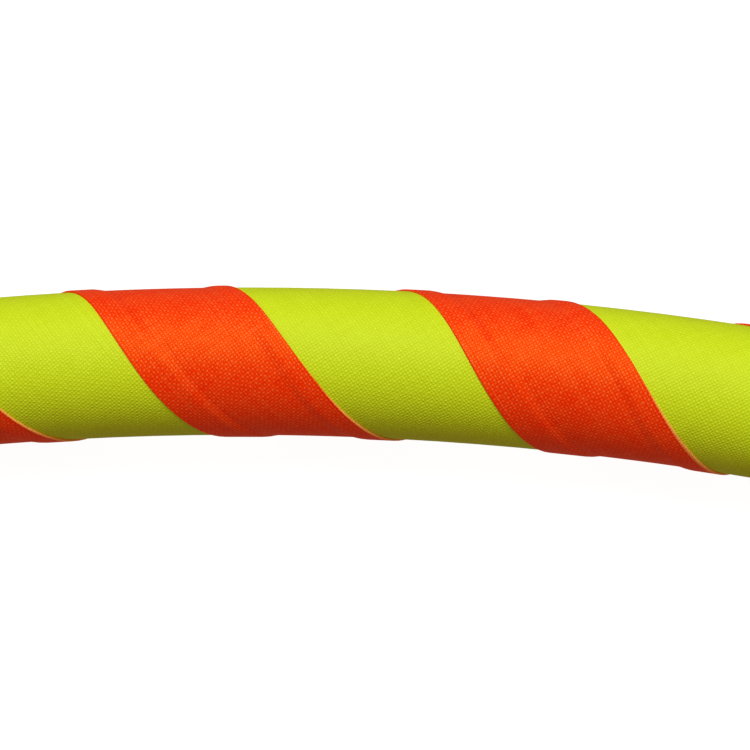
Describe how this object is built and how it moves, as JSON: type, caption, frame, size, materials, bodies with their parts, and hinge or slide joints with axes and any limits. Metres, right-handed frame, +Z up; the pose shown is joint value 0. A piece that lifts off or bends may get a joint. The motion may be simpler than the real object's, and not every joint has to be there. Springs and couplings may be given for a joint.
{
  "type": "taped travel hula hoop",
  "caption": "Sectional hula hoop whose curved pipes plug together with sprung buttons, wound in cloth tapes that make a helical stripe.",
  "frame": {"origin": "centre of the hoop, on the surface that it lies on", "axes": "+Z up, along the hoop's own axis; +Y towards the middle of the first section"},
  "size_m": [0.901, 0.9025, 0.0211],
  "materials": {
    "pipe": "satin black polyethylene",
    "insert": "satin dark grey plastic tube",
    "rivet": "satin domed head",
    "button": "plated, slightly worn dome",
    "spring_clip": "tempered spring steel",
    "yellow_tape": "matt fluorescent cotton cloth tape, plain weave",
    "orange_tape": "matt fluorescent cotton cloth tape, plain weave"
  },
  "bodies": {
    "section_1": {"pipe_1": "pipe", "insert_1": "insert", "rivet_1": "rivet", "spring_clip_1": "spring_clip", "yellow_tape_1": "yellow_tape", "orange_tape_1": "orange_tape"},
    "section_2": {"pipe_2": "pipe", "insert_2": "insert", "rivet_2": "rivet", "spring_clip_2": "spring_clip", "yellow_tape_2": "yellow_tape", "orange_tape_2": "orange_tape"},
    "section_3": {"pipe_3": "pipe", "insert_3": "insert", "rivet_3": "rivet", "spring_clip_3": "spring_clip", "yellow_tape_3": "yellow_tape", "orange_tape_3": "orange_tape"},
    "section_4": {"pipe_4": "pipe", "insert_4": "insert", "rivet_4": "rivet", "spring_clip_4": "spring_clip", "yellow_tape_4": "yellow_tape", "orange_tape_4": "orange_tape"},
    "section_5": {"pipe_5": "pipe", "insert_5": "insert", "rivet_5": "rivet", "spring_clip_5": "spring_clip", "yellow_tape_5": "yellow_tape", "orange_tape_5": "orange_tape"},
    "button_1": {"button_1": "button"},
    "button_2": {"button_2": "button"},
    "button_3": {"button_3": "button"},
    "button_4": {"button_4": "button"},
    "button_5": {"button_5": "button"}
  },
  "joints": [
    {"name": "pull_apart_1", "type": "slide", "parent": "section_1", "child": "section_2", "axis": [-0.809, -0.5878, 0], "range_m": [0, 0.03], "deforming": ["button_1", "button_2", "button_3", "button_4", "button_5"]},
    {"name": "pull_apart_2", "type": "slide", "parent": "section_2", "child": "section_3", "axis": [0.309, -0.9511, 0], "range_m": [0, 0.03]},
    {"name": "pull_apart_3", "type": "slide", "parent": "section_3", "child": "section_4", "axis": [1, 0, 0], "range_m": [0, 0.03]},
    {"name": "pull_apart_4", "type": "slide", "parent": "section_4", "child": "section_5", "axis": [0.309, 0.9511, 0], "range_m": [0, 0.03]},
    {"name": "button_press_1", "type": "slide", "parent": "section_1", "child": "button_1", "axis": [0.5878, -0.809, 0], "range_m": [0, 0.0046], "stiffness_N_per_m": 3000, "springref_m": -0.001, "deforming": ["spring_clip_1"]},
    {"name": "button_press_2", "type": "slide", "parent": "section_2", "child": "button_2", "axis": [0.9511, 0.309, 0], "range_m": [0, 0.0046], "stiffness_N_per_m": 3000, "springref_m": -0.001, "deforming": ["spring_clip_2"]},
    {"name": "button_press_3", "type": "slide", "parent": "section_3", "child": "button_3", "axis": [0, 1, 0], "range_m": [0, 0.0046], "stiffness_N_per_m": 3000, "springref_m": -0.001, "deforming": ["spring_clip_3"]},
    {"name": "button_press_4", "type": "slide", "parent": "section_4", "child": "button_4", "axis": [-0.9511, 0.309, 0], "range_m": [0, 0.0046], "stiffness_N_per_m": 3000, "springref_m": -0.001, "deforming": ["spring_clip_4"]},
    {"name": "button_press_5", "type": "slide", "parent": "section_5", "child": "button_5", "axis": [-0.5878, -0.809, 0], "range_m": [0, 0.0046], "stiffness_N_per_m": 3000, "springref_m": -0.001, "deforming": ["spring_clip_5"]}
  ],
  "couplings": [
    {"joint": "pull_apart_2", "follows": "pull_apart_1", "ratio": 1},
    {"joint": "pull_apart_3", "follows": "pull_apart_1", "ratio": 1},
    {"joint": "pull_apart_4", "follows": "pull_apart_1", "ratio": 1}
  ]
}
